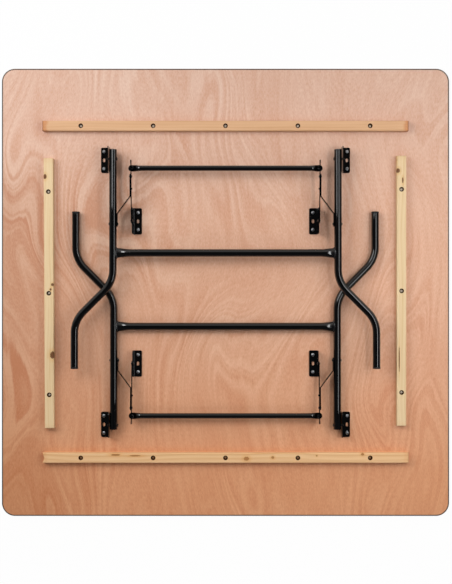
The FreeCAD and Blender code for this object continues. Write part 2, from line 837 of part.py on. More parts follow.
def leg_set(compass, half_turn, tilt):
    """One folded leg set with its brackets and braces. Returns the places of its brackets' screws."""
    height, inset = size(f"{compass}_pivot_height"), size(f"{compass}_pivot_inset")
    way = 1 if half_turn else -1
    home = Placement(
        Vector(0, way * along_leg("pivot"), size("board_thickness") + height),
        Rotation(Z_AXIS, HALF_TURN if half_turn else 0.0),
    )
    leg_turn = home * Placement(ORIGIN, Rotation(X_AXIS, tilt))
    leg_rivet = Rotation(X_AXIS, tilt).multVec(Vector(0, size("leg_rivet_run"), 0))
    pivot = brace_pivot()
    knee = knee_point(pivot, leg_rivet)

    def along_arm(start):
        """The place of an arm that runs from a start to the knee."""
        slope = math.degrees(math.atan2(knee.z - start.z, start.y - knee.y))
        return home * Placement(start, Rotation(X_AXIS, -slope))

    upper_place, lower_place = along_arm(pivot), along_arm(leg_rivet)
    # the set's +X side is the table's west side on the north set, which is turned half round
    sides = {"west": half_turn, "east": not half_turn}

    def pair(name, shape, placement):
        """Two mirrored nodes, west and east."""
        for side, plus in sides.items():
            feature(f"{compass}_{side}_{name}", shape if plus else mirrored(shape), placement)

    def group(name, shape, placement):
        """One node that holds a fastener and its mirror image."""
        feature(f"{compass}_{name}", Part.makeCompound([shape, mirrored(shape)]), placement)

    pair("leg", leg_tube(inset), leg_turn)
    pair("foot_plug", foot_plug(inset), leg_turn)
    feature(f"{compass}_crossbar", crossbar(inset), leg_turn)
    pair("upper_arm", upper_arm(), upper_place)
    pair("lower_arm", lower_arm(), lower_place)
    feature(f"{compass}_brace_bar", brace_bar(), upper_place)

    gap, gauge, sheet_gauge = size("body_gap"), size("arm_thickness"), size("sheet_thickness")
    tube_in, tube_out = size("leg_x") - size("tube_radius"), size("leg_x") + size("tube_radius")
    flange = tube_out + size("hinge_flange_gap")
    upper_in, upper_out = upper_arm_faces()
    (knee_in, knee_out), (leg_in, _) = lower_arm_faces()
    big = (size("rivet_head_radius"), size("rivet_head_height"))
    small = (size("arm_rivet_head_radius"), size("arm_rivet_head_height"))
    pivot_rivet = rivet(tube_in - gap, flange + sheet_gauge, 0, size("pivot_rivet_radius"), *big)
    group("pivot_rivets", pivot_rivet, home)
    arm_radius = size("arm_rivet_radius")
    group(
        "leg_rivets", rivet(leg_in - gap, tube_out, size("leg_rivet_run"), arm_radius, *small), leg_turn
    )
    bracket_face = upper_in - gap
    bracket_rivet = rivet(bracket_face - sheet_gauge, upper_out + gap, 0, arm_radius, *small)
    group("bracket_rivets", bracket_rivet, home * Placement(pivot, Rotation()))
    length = size("upper_arm_length")
    inner_half = rivet(upper_in, upper_out, -length, arm_radius, *small, heads=(True, False))
    group("knee_rivet_inner_halves", inner_half, upper_place)
    outer_half = rivet(knee_in, knee_out, -lower_arm_length(), arm_radius, *small, heads=(False, True))
    group("knee_rivet_outer_halves", outer_half, lower_place)

    screws = {"hinge": [], "brace": []}
    over = cell("flange_over_pivot")
    hinge_height = cell(f"{compass}_pivot_height")
    brace_height = hinge_height - cell("brace_pivot_drop")
    for side, plus in sides.items():
        sign = 1 if plus else -1
        outward = Rotation(Z_AXIS, 0.0 if plus else HALF_TURN)
        inward = Rotation(Z_AXIS, HALF_TURN if plus else 0.0)
        hinge_place = home * Placement(Vector(sign * flange, 0, -height), outward)
        screws["hinge"] += bracket(
            f"{compass}_{side}_hinge_bracket", "hinge", hinge_height + over, hinge_height,
            "pivot_rivet_radius", hinge_place,
        )
        brace_place = home * Placement(Vector(sign * bracket_face, pivot.y, -height), inward)
        screws["brace"] += bracket(
            f"{compass}_{side}_brace_bracket", "brace", brace_height + over, brace_height,
            "arm_rivet_radius", brace_place,
        )
    for kind, seats in screws.items():
        feature(f"{compass}_{kind}_bracket_screws", placed(bracket_screw(), seats))
    return screws["hinge"] + screws["brace"]


tilts = rest_tilts()
seats = leg_set("north", True, tilts["north"]) + leg_set("south", False, tilts["south"])
table_top(seats)
document.recompute()

for thing in document.Objects:
    if {"Invalid", "Error"} & set(thing.State):
        raise RuntimeError(f"{thing.Label} did not recompute: {thing.State}")
for node in finished:
    if node.Shape.isNull() or not node.Shape.isValid():
        raise RuntimeError(f"{node.Label} has no valid shape")

os.makedirs("parts", exist_ok=True)
for node in finished:
    node.Shape.exportStep(os.path.join("parts", f"{node.Label}.step"))
    print(f"{node.Label}: {len(node.Shape.Solids)} solids, {node.Shape.Volume:.0f} mm3")
print("rest tilts", tilts, "lower arm", lower_arm_length())
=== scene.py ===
"""Looks for the folding banquet table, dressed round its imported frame.

The table lies on its show face with both leg sets folded, and the camera looks straight down at the underside.
"""

import logging
import math
from collections.abc import Callable
from dataclasses import dataclass, field
from enum import Enum
from functools import cached_property

import bmesh
import bpy
from mathutils import Matrix, Vector


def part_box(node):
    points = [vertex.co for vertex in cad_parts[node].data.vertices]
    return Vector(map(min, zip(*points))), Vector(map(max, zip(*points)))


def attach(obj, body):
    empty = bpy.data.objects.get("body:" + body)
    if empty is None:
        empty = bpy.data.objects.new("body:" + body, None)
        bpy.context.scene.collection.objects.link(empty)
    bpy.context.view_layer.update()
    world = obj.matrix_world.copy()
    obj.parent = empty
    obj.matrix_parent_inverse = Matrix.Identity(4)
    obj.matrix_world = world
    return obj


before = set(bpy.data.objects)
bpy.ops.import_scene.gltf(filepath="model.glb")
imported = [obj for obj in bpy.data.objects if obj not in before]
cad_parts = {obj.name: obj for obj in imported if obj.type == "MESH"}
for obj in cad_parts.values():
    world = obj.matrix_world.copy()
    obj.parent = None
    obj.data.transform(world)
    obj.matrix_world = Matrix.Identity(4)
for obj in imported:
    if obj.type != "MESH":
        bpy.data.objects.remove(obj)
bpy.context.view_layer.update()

Colour = tuple[float, float, float, float]
Point = tuple[float, float, float]
Span = tuple[float, float]
Ramp = tuple[Span, Span]
Material = bpy.types.Material
Tree = bpy.types.NodeTree
Node = bpy.types.Node
Socket = bpy.types.NodeSocket
Feed = float | tuple[float, ...] | Socket

LOG = logging.getLogger("folding_table")
SRGB_LEVELS = 255.0
SRGB_TOE, SRGB_SLOPE, SRGB_OFFSET, SRGB_POWER = 0.04045, 12.92, 0.055, 2.4
MIDDLE = 0.5
RISE: Span = (0.0, 1.0)
FALL: Span = (1.0, 0.0)
NOISE_SPAN: Span = (0.3, 0.7)
WHITE: Colour = (1.0, 1.0, 1.0, 1.0)
VECTORS = ("Vector", "Reach", "Density", "Pith", "Centre")  # the sockets of the shared effects that hold a vector


def srgb(*levels: float) -> Colour:
    """Turn a colour as a picture shows it into the linear values that a shader takes.

    Args:
        levels: Its levels of red, green and blue, 0 to 255.

    Returns:
        The linear colour with full alpha.
    """

    def linear(share: float) -> float:
        """One channel of the colour."""
        if share <= SRGB_TOE:
            return share / SRGB_SLOPE
        return ((share + SRGB_OFFSET) / (1.0 + SRGB_OFFSET)) ** SRGB_POWER

    return (*(linear(level / SRGB_LEVELS) for level in levels), 1.0)


class Compass(Enum):
    """The two leg sets, named for the side of the table where they are hinged."""

    NORTH = "north"
    SOUTH = "south"


class Side(Enum):
    """The two sides of a leg set, with their sign along X."""

    WEST = -1
    EAST = 1


class Run(Enum):
    """The way that the grain of a batten runs."""

    ALONG_X = "x"
    ALONG_Y = "y"


class Sheet:
    """A node tree while it is drawn up, with short calls for the nodes that the finishes share.

    Attributes:
        MIX_INPUTS: Places of a colour mix node's factor and its two colours among its inputs.
        MIX_OUTPUT: Place of the mixed colour among its outputs.
        RANGE_INPUTS: Names of a map range node's value and of its four limits.
    """

    MIX_INPUTS = (0, 6, 7)
    MIX_OUTPUT = 2
    RANGE_INPUTS = ("Value", "From Min", "From Max", "To Min", "To Max")

    def __init__(self, tree: Tree) -> None:
        """Start on a tree that already exists."""
        self.tree = tree

    def node(self, kind: str, **settings: object) -> Node:
        """Add a node.

        Args:
            kind: The node's type name.
            settings: Attributes to set on it.

        Returns:
            The new node.
        """
        made = self.tree.nodes.new(kind)
        for name, value in settings.items():
            setattr(made, name, value)
        return made

    def feed(self, socket: Socket, value: Feed) -> None:
        """Link a socket to another one, or set it to a plain value.

        Args:
            socket: The socket.
            value: What it gets.
        """
        if isinstance(value, Socket):
            self.tree.links.new(value, socket)
        else:
            socket.default_value = value

    def fill(self, made: Node, values: dict[int | str, Feed]) -> Node:
        """Feed several inputs of a node.

        Args:
            made: The node.
            values: What its inputs get, by their place or name.

        Returns:
            The same node.
        """
        for key, value in values.items():
            self.feed(made.inputs[key], value)
        return made

    def math(self, operation: str, *values: Feed, clamp: bool = False) -> Socket:
        """Work out one number, held between 0 and 1 where clamp is set."""
        made = self.node("ShaderNodeMath", operation=operation, use_clamp=clamp)
        return self.fill(made, dict(enumerate(values))).outputs[0]

    def vector(self, operation: str, *values: Feed, output: str = "Vector") -> Socket:
        """Work out one vector, or a number from vectors where the output is "Value"."""
        made = self.node("ShaderNodeVectorMath", operation=operation)
        return self.fill(made, dict(enumerate(values))).outputs[output]

    def noise(
        self, vector: Feed, scale: Feed, detail: float = 2.0, roughness: float = 0.5, output: str = "Fac"
    ) -> Socket:
        """Add a noise texture, scale features to the metre: one number, or three where the output is "Color"."""
        values = {"Vector": vector, "Scale": scale, "Detail": detail, "Roughness": roughness}
        return self.fill(self.node("ShaderNodeTexNoise"), values).outputs[output]

    def remap(self, value: Feed, old: Span, new: Span) -> Socket:
        """Carry a number smoothly from its old range to a new one, held at both ends."""
        made = self.node("ShaderNodeMapRange", interpolation_type="SMOOTHSTEP")
        return self.fill(made, dict(zip(self.RANGE_INPUTS, (value, *old, *new)))).outputs["Result"]

    def mix(self, factor: Feed, first: Feed, second: Feed, mode: str = "MIX") -> Socket:
        """Mix two colours, the factor being the share of the second and the mode how it is laid on."""
        made = self.node("ShaderNodeMix", data_type="RGBA", blend_type=mode)
        return self.fill(made, dict(zip(self.MIX_INPUTS, (factor, first, second)))).outputs[self.MIX_OUTPUT]

    def bump(self, height: Feed, strength: float, distance: float) -> Socket:
        """Turn a height, 0 to 1, into a normal; the distance is the depth of a full step, in metres."""
        values = {"Strength": strength, "Distance": distance, "Height": height}
        return self.fill(self.node("ShaderNodeBump"), values).outputs["Normal"]

    def effect(self, group: Tree, **values: Feed) -> Node:
        """Place a shared effect, with its inputs by name."""
        made = self.node("ShaderNodeGroup", node_tree=group)
        return self.fill(made, {name.title(): value for name, value in values.items()})

    def shift(self, value: Feed, weight: Feed, level: Feed, clamp: bool = False) -> Socket:
        """Shift a level by the weighted distance of a value from its middle."""
        return self.math("MULTIPLY_ADD", self.math("SUBTRACT", value, MIDDLE), weight, level, clamp=clamp)

    def place(self) -> Socket:
        """The place on the object, in metres."""
        return self.node("ShaderNodeTexCoord").outputs["Object"]

    def axes(self, vector: Feed) -> tuple[Socket, ...]:
        """Split a vector into its X, Y and Z."""
        return tuple(self.fill(self.node("ShaderNodeSeparateXYZ"), {0: vector}).outputs)

    def facing_up(self) -> Socket:
        """The Z of the surface's normal, which is 1 where it faces straight up."""
        return self.axes(self.node("ShaderNodeTexCoord").outputs["Normal"])[2]


def draw_group(name: str, inputs: str, outputs: str) -> tuple[Sheet, Node, list[Socket]]:
    """Start a shared effect.

    Args:
        name: The node group's name.
        inputs: Names of its inputs.
        outputs: Names of its outputs.

    Returns:
        The sheet to draw on, the node that takes the outputs, and the inputs' sockets.
    """
    tree = bpy.data.node_groups.new(name, "ShaderNodeTree")
    for way, labels in (("INPUT", inputs), ("OUTPUT", outputs)):
        for label in labels.split():
            kind = "Vector" if label in VECTORS else "Float"
            tree.interface.new_socket(label, in_out=way, socket_type=f"NodeSocket{kind}")
    sheet = Sheet(tree)
    given = sheet.node("NodeGroupInput").outputs
    return sheet, sheet.node("NodeGroupOutput"), [given[label] for label in inputs.split()]


@dataclass(frozen=True)
class Drift:
    """Slow waves that bend straight grain.

    Attributes:
        scale: Waves to the metre.
        reach: How far they bend it along each axis, in metres.
    """

    scale: float
    reach: Point


@dataclass(frozen=True)
class Streaks:
    """A layer of fibre streaks.

    Attributes:
        density: Streaks to the metre along each axis.
        contrast: How hard they are.
        weight: How much of them shows in the wood's tone.
    """

    density: Point
    contrast: float
    weight: float = 0.0


class Effects:
    """The effects that the finishes are drawn with, each a node group that is built once, at its first use.

    Attributes:
        DRIFT_NOISE, STREAK_NOISE: Detail and roughness of the noises for the waves and the streaks of grain.
        DEPTH_NOISE, LINE_NOISE: The same for the depth of a veneer's cut and for the growth lines over it.
        LINE_SPAN: Values of the lines' noise that go from dark to pale.
        LATE_SPAN, YEAR_END_SPAN: Shares of a year over which its wood darkens, and pales again.
        YEAR_BEAT, YEAR_SWING: Turn from one year's weight to the next, and how much the years differ.
        KNOT_GRAIN, KNOT_RAGGED: Roughness of a knot's outline to the metre, and how far it wanders.
        KNOT_RINGS: Turn of a knot's rings over its reach, in radians.
        EYE_SPAN, HALO_SPAN: Where a knot's eye and halo end, as shares of its reach.
        HOLE_SHADE_SPAN: Radii between which the painted shade round a screw hole ends, in metres.
        MOTTLE: Mottled patches to the metre, and their detail.
        STROKE_SPAN, PATCH_SPAN: Values of the stroke noise that scuff, and of the mottle where they show.
    """

    DRIFT_NOISE = (1.0, 0.4)
    STREAK_NOISE = (3.0, 0.55)
    DEPTH_NOISE = (2.0, 0.45)
    LINE_NOISE = (2.0, 0.6)
    LINE_SPAN = (0.30, 0.70)
    LATE_SPAN = (0.20, 0.88)
    YEAR_END_SPAN = (0.90, 1.0)
    YEAR_BEAT = 0.73
    YEAR_SWING = 0.35
    KNOT_GRAIN = 260.0
    KNOT_RAGGED = 0.6
    KNOT_RINGS = 17.0
    EYE_SPAN = (0.75, 1.0)
    HALO_SPAN = (0.8, 2.4)
    HOLE_SHADE_SPAN = (0.0073, 0.0084)
    MOTTLE = (9.0, 3.0)
    STROKE_SPAN = (0.60, 0.74)
    PATCH_SPAN = (0.46, 0.66)

    def bend(self, sheet: Sheet, vector: Feed, drift: Drift) -> Socket:
        """Bend straight grain into slow waves."""
        return sheet.effect(self.drift, vector=vector, scale=drift.scale, reach=drift.reach).outputs["Vector"]

    def streak(self, sheet: Sheet, vector: Feed, layer: Streaks) -> Socket:
        """Lay streaks along grain, as values from 0 to 1."""
        made = sheet.effect(self.fibre, vector=vector, density=layer.density, contrast=layer.contrast)
        return made.outputs["Value"]

    def rub(self, sheet: Sheet, vector: Feed, density: Point, amount: float) -> tuple[Socket, Socket]:
        """Where a surface is scuffed, and the mottle under the scuffs."""
        made = sheet.effect(self.scuffs, vector=vector, density=density, amount=amount)
        return made.outputs["Mask"], made.outputs["Mottle"]

    @cached_property
    def drift(self) -> Tree:
        """Grain Drift: bends straight grain into slow waves."""
        sheet, wanted, (vector, scale, reach) = draw_group("Grain Drift", "Vector Scale Reach", "Vector")
        wander = sheet.noise(vector, scale, *self.DRIFT_NOISE, "Color")
        aside = sheet.vector("SUBTRACT", wander, (MIDDLE, MIDDLE, MIDDLE))
        aside = sheet.vector("MULTIPLY", aside, reach)
        sheet.fill(wanted, {"Vector": sheet.vector("ADD", vector, aside)})
        return sheet.tree

    @cached_property
    def fibre(self) -> Tree:
        """Fibre Streaks: fibres at a density to the metre along each axis."""
        sheet, wanted, (vector, density, contrast) = draw_group("Fibre Streaks", "Vector Density Contrast", "Value")
        streak = sheet.noise(sheet.vector("MULTIPLY", vector, density), 1.0, *self.STREAK_NOISE)
        sheet.fill(wanted, {"Value": sheet.shift(streak, contrast, MIDDLE, clamp=True)})
        return sheet.tree

    @cached_property
    def figure(self) -> Tree:
        """Growth Figure: the uneven contour lines that a peeled log's growth rings leave, mostly along Y."""
        sheet, wanted, (vector, density, lean, rings, ragged) = draw_group(
            "Growth Figure", "Vector Density Lean Rings Ragged", "Value"
        )
        x, _, _ = sheet.axes(vector)
        depth = sheet.noise(sheet.vector("MULTIPLY", vector, density), 1.0, *self.DEPTH_NOISE)
        depth = sheet.math("MULTIPLY_ADD", x, lean, depth)
        years = sheet.math("MULTIPLY_ADD", depth, rings, ragged)
        lines = sheet.node("ShaderNodeTexNoise", noise_dimensions="1D")
        sheet.fill(lines, dict(zip(("W", "Scale", "Detail", "Roughness"), (years, 1.0, *self.LINE_NOISE))))
        sheet.fill(wanted, {"Value": sheet.remap(lines.outputs["Fac"], self.LINE_SPAN, RISE)})
        return sheet.tree

    @cached_property
    def rings(self) -> Tree:
        """Growth Rings: dark late wood in rings round a pith that runs along X."""
        sheet, wanted, (vector, pith, spacing) = draw_group("Growth Rings", "Vector Pith Spacing", "Value")
        across = sheet.vector("MULTIPLY", vector, (0.0, 1.0, 1.0))
        years = sheet.math("DIVIDE", sheet.vector("DISTANCE", across, pith, output="Value"), spacing)
        year = sheet.math("FRACT", years)
        late = sheet.remap(year, self.LATE_SPAN, RISE)
        late = sheet.math("MULTIPLY", late, sheet.remap(year, self.YEAR_END_SPAN, FALL))
        uneven = sheet.math("SINE", sheet.math("MULTIPLY", sheet.math("FLOOR", years), self.YEAR_BEAT))
        weight = sheet.math("MULTIPLY_ADD", uneven, self.YEAR_SWING, 1.0 - self.YEAR_SWING)
        sheet.fill(wanted, {"Value": sheet.math("MULTIPLY", late, weight)})
        return sheet.tree

    @cached_property
    def knot(self) -> Tree:
        """Knot: a dark ringed eye in the wood with a warmer halo round it."""
        sheet, wanted, (vector, centre, reach) = draw_group("Knot", "Vector Centre Reach", "Eye Halo Ring")
        away = sheet.vector("DIVIDE", sheet.vector("SUBTRACT", vector, centre), reach)
        share = sheet.vector("LENGTH", away, output="Value")
        share = sheet.shift(sheet.noise(vector, self.KNOT_GRAIN), self.KNOT_RAGGED, share)
        ring = sheet.math("SINE", sheet.math("MULTIPLY", share, self.KNOT_RINGS))
        sheet.fill(wanted, {
            "Eye": sheet.remap(share, self.EYE_SPAN, FALL),
            "Halo": sheet.remap(share, self.HALO_SPAN, FALL),
            "Ring": sheet.math("MULTIPLY_ADD", ring, MIDDLE, MIDDLE),
        })
        return sheet.tree

    @cached_property
    def hole_shade(self) -> Tree:
        """Bored Rims: painted shade in and round a row of sunk screw holes."""
        sheet, wanted, (vector, pitch) = draw_group("Painted Hole Shade", "Vector Pitch", "Mask")
        x, y, _ = sheet.axes(vector)
        half = sheet.math("DIVIDE", pitch, 2.0)
        along = sheet.math("WRAP", x, half, sheet.math("MULTIPLY", half, -1.0))
        square = sheet.math("ADD", sheet.math("MULTIPLY", along, along), sheet.math("MULTIPLY", y, y))
        sheet.fill(wanted, {"Mask": sheet.remap(sheet.math("SQRT", square), self.HOLE_SHADE_SPAN, FALL)})
        return sheet.tree

    @cached_property
    def scuffs(self) -> Tree:
        """Scuffs: short rubbed strokes in patches, and the slow mottle under them."""
        sheet, wanted, (vector, density, amount) = draw_group("Scuffs", "Vector Density Amount", "Mask Mottle")
        mottle = sheet.noise(vector, *self.MOTTLE)
        stroke = sheet.noise(sheet.vector("MULTIPLY", vector, density), 1.0)
        stroke = sheet.remap(stroke, self.STROKE_SPAN, RISE)
        rubbed = sheet.math("MULTIPLY", stroke, sheet.remap(mottle, self.PATCH_SPAN, RISE))
        sheet.fill(wanted, {"Mask": sheet.math("MULTIPLY", rubbed, amount, clamp=True), "Mottle": mottle})
        return sheet.tree


@dataclass(frozen=True)
class Finish:
    """A surface finish, which builds one node material.

    In the finishes a ramp holds the range that a value comes in and the range that it leaves in. Gloss is the
    roughness, relief the strength and depth of the bump, sheen the level of the reflection, strokes the scuffs to
    the metre along each axis, amount how much is scuffed and worn the roughness that a scuff adds.

    Attributes:
        name: The material's name.
    """

    name: str

    def build(self, effects: Effects) -> Material:
        """Build the material.

        Args:
            effects: The shared effects.

        Returns:
            The finished material.
        """
        material = bpy.data.materials.new(self.name)
        material.use_nodes = True
        sheet = Sheet(material.node_tree)
        shader = material.node_tree.nodes["Principled BSDF"]
        self.draw(sheet, shader, effects)
        return material

    def draw(self, sheet: Sheet, shader: Node, effects: Effects) -> None:
        """Draw the finish into the material's shader.

        Args:
            sheet: The material's sheet.
            shader: Its Principled BSDF.
            effects: The shared effects.
        """
        raise NotImplementedError


@dataclass(frozen=True)
class Veneer(Finish):
    """Peeled hardwood veneer under a thin satin lacquer, its grain along Y.

    Attributes:
        north, middle, south: Colours from its north edge to its south edge: its own tone, darkened southward by
            painted shade.
        west: Painted shade that darkens its west edge, south of the north corner.
        deep, pale, pore: Tints of the growth lines, of the wood between them and of the open pores.
        north_ramp, south_ramp: Shares of the middle and the south colour along Y.
        west_ramp, corner_ramp: Share of the west edge's painted shade and bolder figure along X, and along Y.
        waves, ripple: Slow and short waves of the grain.
        cloud, wisp, fine, pores: Cloudy patches, long wisps, short flecks and open pores.
        pore_ramp, pore_sink: How strongly the pores show, and how far they sink.
        figure_density, figure_lean: Contours of the growth figure to the metre, and its slope along X.
        figure_rings, figure_ragged: Growth lines over its depth, and how far the wisps fray them.
        bold_patches, bold_ramp: Patches of the figure to the metre with their detail, and its boldness in them.
        calm_ramp, west_bold: How much of that is left along X, and how much bolder the west edge is.
    """

    north: Colour = srgb(228, 189, 167)
    middle: Colour = srgb(228, 178, 148)
    south: Colour = srgb(227, 162, 119)
    west: Colour = (0.84, 0.78, 0.73, 1.0)
    deep: Colour = (0.89, 0.74, 0.66, 1.0)
    pale: Colour = (1.11, 1.21, 1.28, 1.0)
    pore: Colour = (0.72, 0.62, 0.56, 1.0)
    north_ramp: Ramp = ((0.72, -0.05), RISE)
    south_ramp: Ramp = ((0.05, -0.72), RISE)
    west_ramp: Ramp = ((-0.30, -0.78), RISE)
    corner_ramp: Ramp = ((0.65, 0.25), (-0.4, 1.0))
    waves: Drift = Drift(1.5, (0.34, 0.10, 0.0))
    ripple: Drift = Drift(5.0, (0.045, 0.0, 0.0))
    cloud: Streaks = Streaks((6.5, 2.6, 1.0), 1.0, 0.75)
    wisp: Streaks = Streaks((70.0, 4.5, 1.0), 1.0, 0.60)
    fine: Streaks = Streaks((270.0, 90.0, 1.0), 1.9, 0.62)
    pores: Streaks = Streaks((1300.0, 70.0, 1.0), 2.4)
    pore_ramp: Ramp = ((0.62, 0.92), (0.0, 0.45))
    pore_sink: float = -0.6
    figure_density: Point = (2.6, 0.85, 1.0)
    figure_lean: float = 0.60
    figure_rings: float = 38.0
    figure_ragged: float = 0.5
    bold_patches: Span = (2.6, 1.0)
    bold_ramp: Ramp = ((0.34, 0.64), (0.14, 0.62))
    calm_ramp: Ramp = ((-0.40, 0.50), (1.0, 0.62))
    west_bold: float = 1.2
    gloss: Ramp = ((0.2, 0.8), (0.54, 0.42))
    relief: Span = (0.2, 0.0003)
    sheen: float = 0.35

    def draw(self, sheet: Sheet, shader: Node, effects: Effects) -> None:
        """Draw the veneer."""
        place = sheet.place()
        x, y, _ = sheet.axes(place)
        west = sheet.math("MULTIPLY", sheet.remap(x, *self.west_ramp), sheet.remap(y, *self.corner_ramp))
        bent = effects.bend(sheet, place, self.waves)
        flow = effects.bend(sheet, bent, self.ripple)
        cloud = effects.streak(sheet, bent, self.cloud)
        wisp = effects.streak(sheet, flow, self.wisp)
        fine = effects.streak(sheet, flow, self.fine)
        pores = effects.streak(sheet, flow, self.pores)
        figure = sheet.effect(
            effects.figure, vector=bent, density=self.figure_density, lean=self.figure_lean,
            rings=self.figure_rings, ragged=sheet.math("MULTIPLY", wisp, self.figure_ragged),
        ).outputs["Value"]
        bold = sheet.remap(sheet.noise(place, *self.bold_patches), *self.bold_ramp)
        bold = sheet.math("MULTIPLY", bold, sheet.remap(x, *self.calm_ramp))
        bold = sheet.math("MULTIPLY_ADD", sheet.math("MULTIPLY", bold, west), self.west_bold, bold)
        tone = sheet.shift(figure, bold, MIDDLE)
        tone = sheet.shift(wisp, self.wisp.weight, tone)
        tone = sheet.shift(fine, self.fine.weight, tone)
        tone = sheet.shift(cloud, self.cloud.weight, tone, clamp=True)
        # The sheet's own tone from north to south, with painted shade darkening it towards the south.
        colour = sheet.mix(sheet.remap(y, *self.north_ramp), self.north, self.middle)
        colour = sheet.mix(sheet.remap(y, *self.south_ramp), colour, self.south)
        # Painted shade darkening the west edge.
        colour = sheet.mix(1.0, colour, sheet.mix(west, WHITE, self.west), "MULTIPLY")
        colour = sheet.mix(1.0, colour, sheet.mix(tone, self.deep, self.pale), "MULTIPLY")
        colour = sheet.mix(sheet.remap(pores, *self.pore_ramp), colour, self.pore, "MULTIPLY")
        height = sheet.math("MULTIPLY_ADD", pores, self.pore_sink, fine)
        sheet.fill(shader, {
            "Base Color": colour,
            "Roughness": sheet.remap(fine, *self.gloss),
            "Normal": sheet.bump(height, *self.relief),
            "Specular IOR Level": self.sheen,
        })


@dataclass(frozen=True)
class KnotSpot:
    """A knot or a pitch mark in a batten.

    Attributes:
        place: Its middle, in metres.
        reach: Its half sizes along X, Y and Z, in metres.
        eye: Its colour.
        ringed: How strongly dark rings show in it, 0 to 1.
    """

    place: Point
    reach: Point
    eye: Colour
    ringed: float


@dataclass(frozen=True)
class Pine(Finish):
    """Planed bare pine, its grain along the batten.

    Attributes:
        node: The batten.
        run: The way that it runs.
        pitch: Distance between its screws.
        pale, line: Colours of the early wood and of the growth lines.
        pith: Where the log's pith lies, across and above the batten's middle.
        stain: How far the wood is stained at the batten's ends, 0 to 1.
        knots: Its knots.
        lean: How far the batten is turned out of square, in radians.
        rust, tip, flank, halo: Tints of the end stain, the end grain's edge, the painted shade on the sides, and
            round a knot.
        knot_ring_and_hole_shade: Colour of a knot's dark rings, and of the painted shade in and round a screw hole.
        waves, fibre, broad: Slow waves of the grain, fine fibres and broad streaks.
        ring_spacing, ring_weight: Width of a year, in metres, and how much of the rings shows in the tone.
        tone_ramp: Share of the growth lines' colour over the tone.
        halo_share, eye_share: How strongly a knot's halo and eye show.
        stain_span, tip_span: Distances from an end over which the stain and the edge fade, in metres.
        stain_spread: How far the broad streaks carry the stain, in metres.
        side_shade_ramp: Share of the painted side shade over the Z of the normal.
    """

    node: str
    run: Run
    pitch: float
    pale: Colour
    line: Colour
    pith: Span
    stain: float
    knots: tuple[KnotSpot, ...] = ()
    lean: float = 0.0
    end_stain_and_head_shade: Colour = (0.86, 0.62, 0.46, 1.0)
    tip: Colour = (0.52, 0.38, 0.28, 1.0)
    side_shade: Colour = (0.90, 0.91, 0.90, 1.0)
    halo: Colour = (0.93, 0.80, 0.62, 1.0)
    knot_ring_and_hole_shade: Colour = srgb(62, 24, 2)
    waves: Drift = Drift(2.2, (0.0, 0.030, 0.016))
    fibre: Streaks = Streaks((12.0, 620.0, 620.0), 1.8, 0.22)
    broad: Streaks = Streaks((2.2, 70.0, 70.0), 1.6, 0.42)
    ring_spacing: float = 0.0075
    ring_weight: float = 0.40
    tone_ramp: Ramp = ((0.16, 0.86), RISE)
    halo_share: float = 0.7
    eye_share: float = 0.92
    stain_span: Span = (0.008, 0.021)
    stain_spread: float = 0.016
    tip_span: Span = (0.0015, 0.0045)
    side_shade_ramp: Ramp = ((0.35, 0.85), FALL)
    gloss: Ramp = ((0.2, 0.8), (0.66, 0.52))
    relief: Span = (0.25, 0.0003)
    sheen: float = 0.3

    def draw(self, sheet: Sheet, shader: Node, effects: Effects) -> None:
        """Draw the pine."""
        place = sheet.place()
        low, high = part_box(self.node)
        centre = tuple((low + high) / 2)
        turn = self.lean + (math.pi / 2 if self.run is Run.ALONG_Y else 0.0)
        mapping = sheet.node("ShaderNodeMapping", vector_type="TEXTURE")
        sheet.fill(mapping, {"Vector": place, "Location": centre, "Rotation": (0.0, 0.0, turn)})
        local = mapping.outputs["Vector"]
        along, _, _ = sheet.axes(local)
        flow = effects.bend(sheet, sheet.vector("ADD", local, centre), self.waves)
        pith = (0.0, centre[1] + self.pith[0], centre[2] + self.pith[1])
        rings = sheet.effect(effects.rings, vector=flow, pith=pith, spacing=self.ring_spacing).outputs["Value"]
        fibre = effects.streak(sheet, flow, self.fibre)
        broad = effects.streak(sheet, flow, self.broad)
        tone = sheet.math("MULTIPLY", fibre, self.fibre.weight)
        tone = sheet.math("MULTIPLY_ADD", rings, self.ring_weight, tone)
        tone = sheet.math("MULTIPLY_ADD", broad, self.broad.weight, tone)
        colour = sheet.mix(sheet.remap(tone, *self.tone_ramp), self.pale, self.line)
        for spot in self.knots:
            knot = sheet.effect(effects.knot, vector=place, centre=spot.place, reach=spot.reach).outputs
            halo = sheet.math("MULTIPLY", knot["Halo"], self.halo_share)
            colour = sheet.mix(halo, colour, self.halo, "MULTIPLY")
            eye = sheet.mix(sheet.math("MULTIPLY", knot["Ring"], spot.ringed), spot.eye, self.knot_ring_and_hole_shade)
            colour = sheet.mix(sheet.math("MULTIPLY", knot["Eye"], self.eye_share), colour, eye)
        inset = sheet.math("SUBTRACT", max(high - low) / 2, sheet.math("ABSOLUTE", along))
        stained = sheet.shift(broad, self.stain_spread, inset)
        stained = sheet.remap(stained, self.stain_span, (self.stain, 0.0))
        colour = sheet.mix(stained, colour, self.end_stain_and_head_shade, "MULTIPLY")
        colour = sheet.mix(sheet.remap(inset, self.tip_span, (self.stain, 0.0)), colour, self.tip, "MULTIPLY")
        # Painted shade on the batten's sides, the faces that do not point up.
        side_shade_share = sheet.remap(sheet.facing_up(), *self.side_shade_ramp)
        colour = sheet.mix(side_shade_share, colour, self.side_shade, "MULTIPLY")
        # Painted shade in and round the sunk screw holes, which also lose their reflection.
        hole_shade = sheet.effect(effects.hole_shade, vector=local, pitch=self.pitch).outputs["Mask"]
        sheet.fill(shader, {
            "Base Color": sheet.mix(hole_shade, colour, self.knot_ring_and_hole_shade),
            "Roughness": sheet.remap(fibre, *self.gloss),
            "Normal": sheet.bump(fibre, *self.relief),
            "Specular IOR Level": sheet.remap(hole_shade, RISE, (self.sheen, 0.0)),
        })


